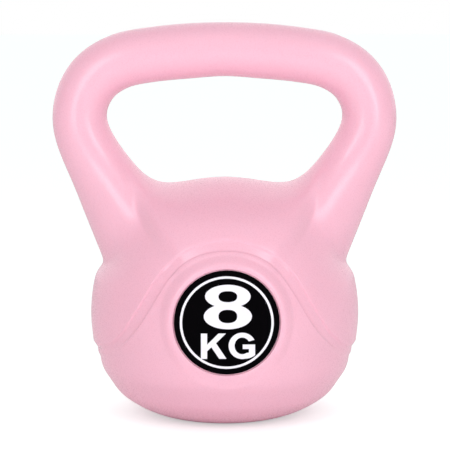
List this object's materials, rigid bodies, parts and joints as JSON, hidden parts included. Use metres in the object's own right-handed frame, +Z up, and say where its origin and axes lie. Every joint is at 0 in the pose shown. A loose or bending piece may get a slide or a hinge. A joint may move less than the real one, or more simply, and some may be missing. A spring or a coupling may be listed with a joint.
{
  "type": "kettlebell",
  "caption": "Cement-filled plastic kettlebell with a wide rounded handle, a flat foot and round weight labels.",
  "frame": {"origin": "middle of the foot, on the surface that the kettlebell stands on", "axes": "+Z up, +X along the handle's grip, -Y towards the front label"},
  "size_m": [0.2386, 0.1644, 0.2731],
  "materials": {
    "shell": "satin blow-moulded polyethylene, pink",
    "filling": "cured cement and iron-sand mix, rough grey",
    "plug": "injection-moulded polyethylene, pink",
    "label": "printed black vinyl, semi-gloss"
  },
  "bodies": {
    "root": {"shell": "shell", "cement_filling": "filling", "fill_plug": "plug", "front_label": "label", "rear_label": "label"}
  },
  "joints": []
}
